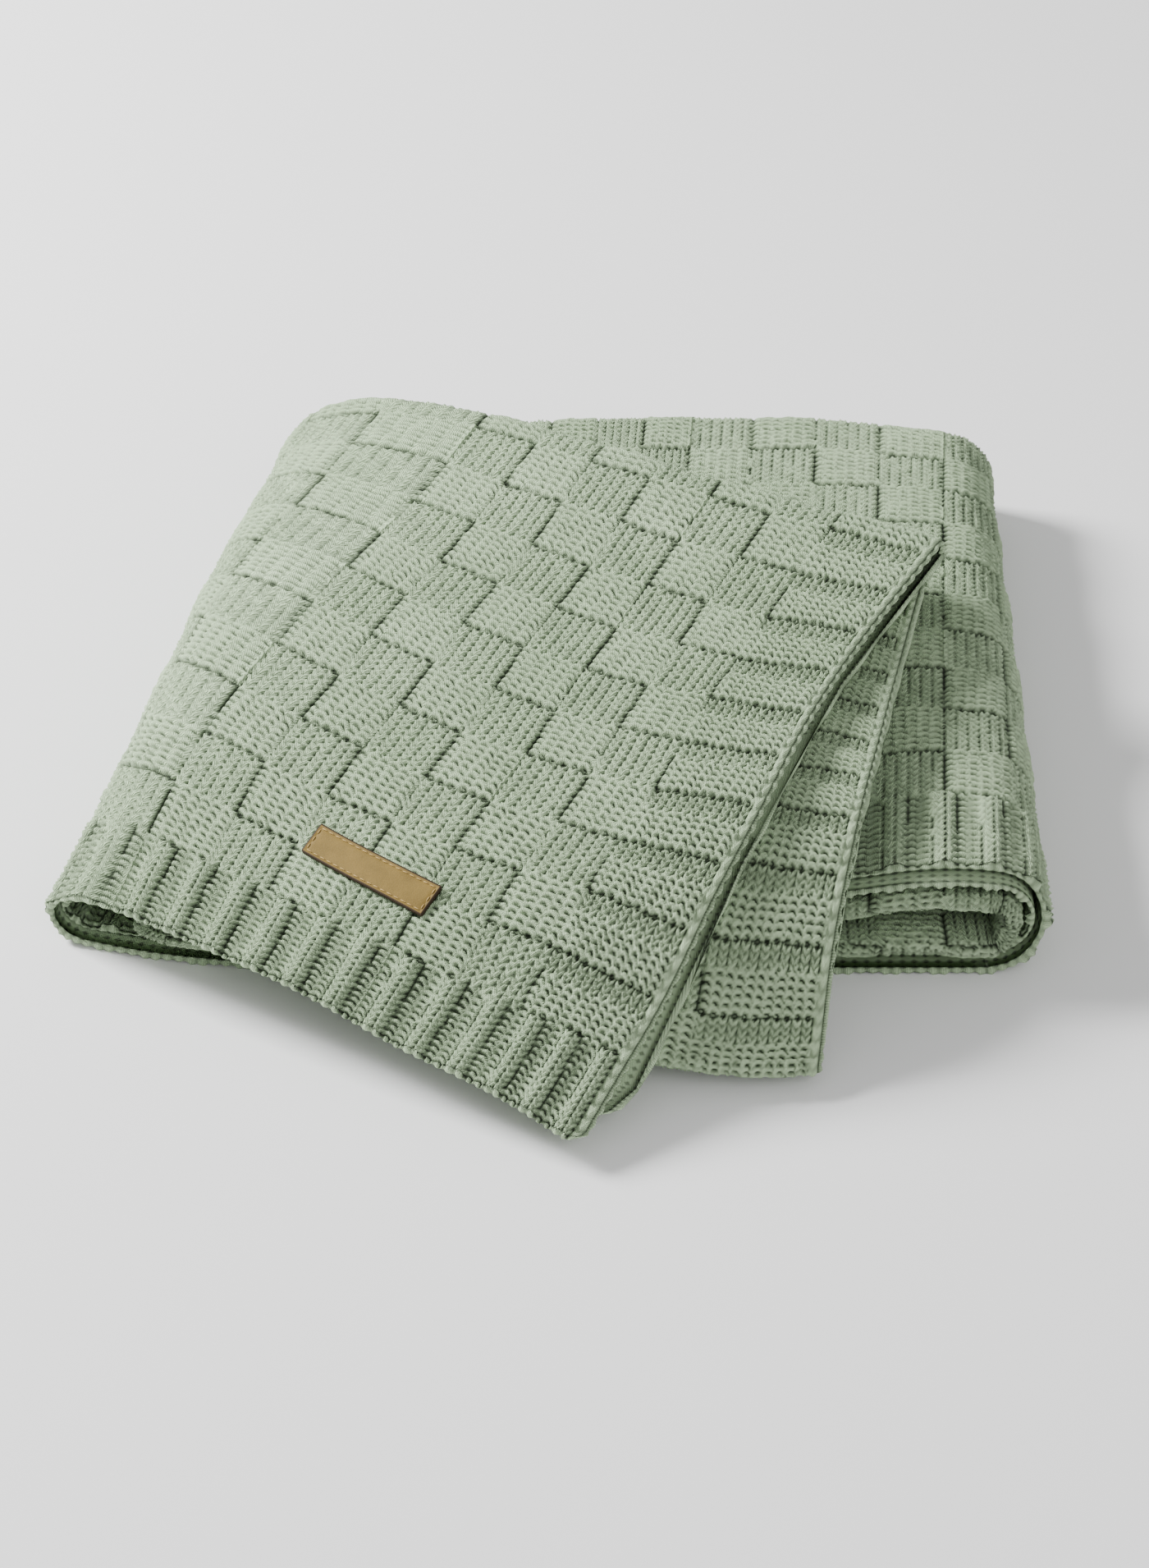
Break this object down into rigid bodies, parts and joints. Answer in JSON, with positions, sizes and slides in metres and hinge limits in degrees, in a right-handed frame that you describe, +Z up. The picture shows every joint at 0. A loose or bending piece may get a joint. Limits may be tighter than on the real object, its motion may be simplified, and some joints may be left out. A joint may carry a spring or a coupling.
{
  "type": "folded knitted baby blanket",
  "caption": "Knitted baby blanket with a basket-weave check, ribbed hems and a blank leather tag, folded into a loose stack.",
  "frame": {"origin": "centre of the folded blanket's box, on the surface that it lies on", "axes": "+Z up, +Y to the back where the cloth is folded, +X to the right-hand fold"},
  "size_m": [0.2952, 0.3242, 0.0614],
  "materials": {
    "knit": "soft matt sage-green cotton knit",
    "leather": "smooth tan leather with a satin sheen"
  },
  "bodies": {
    "root": {"blanket": "knit", "label": "leather"}
  },
  "joints": []
}
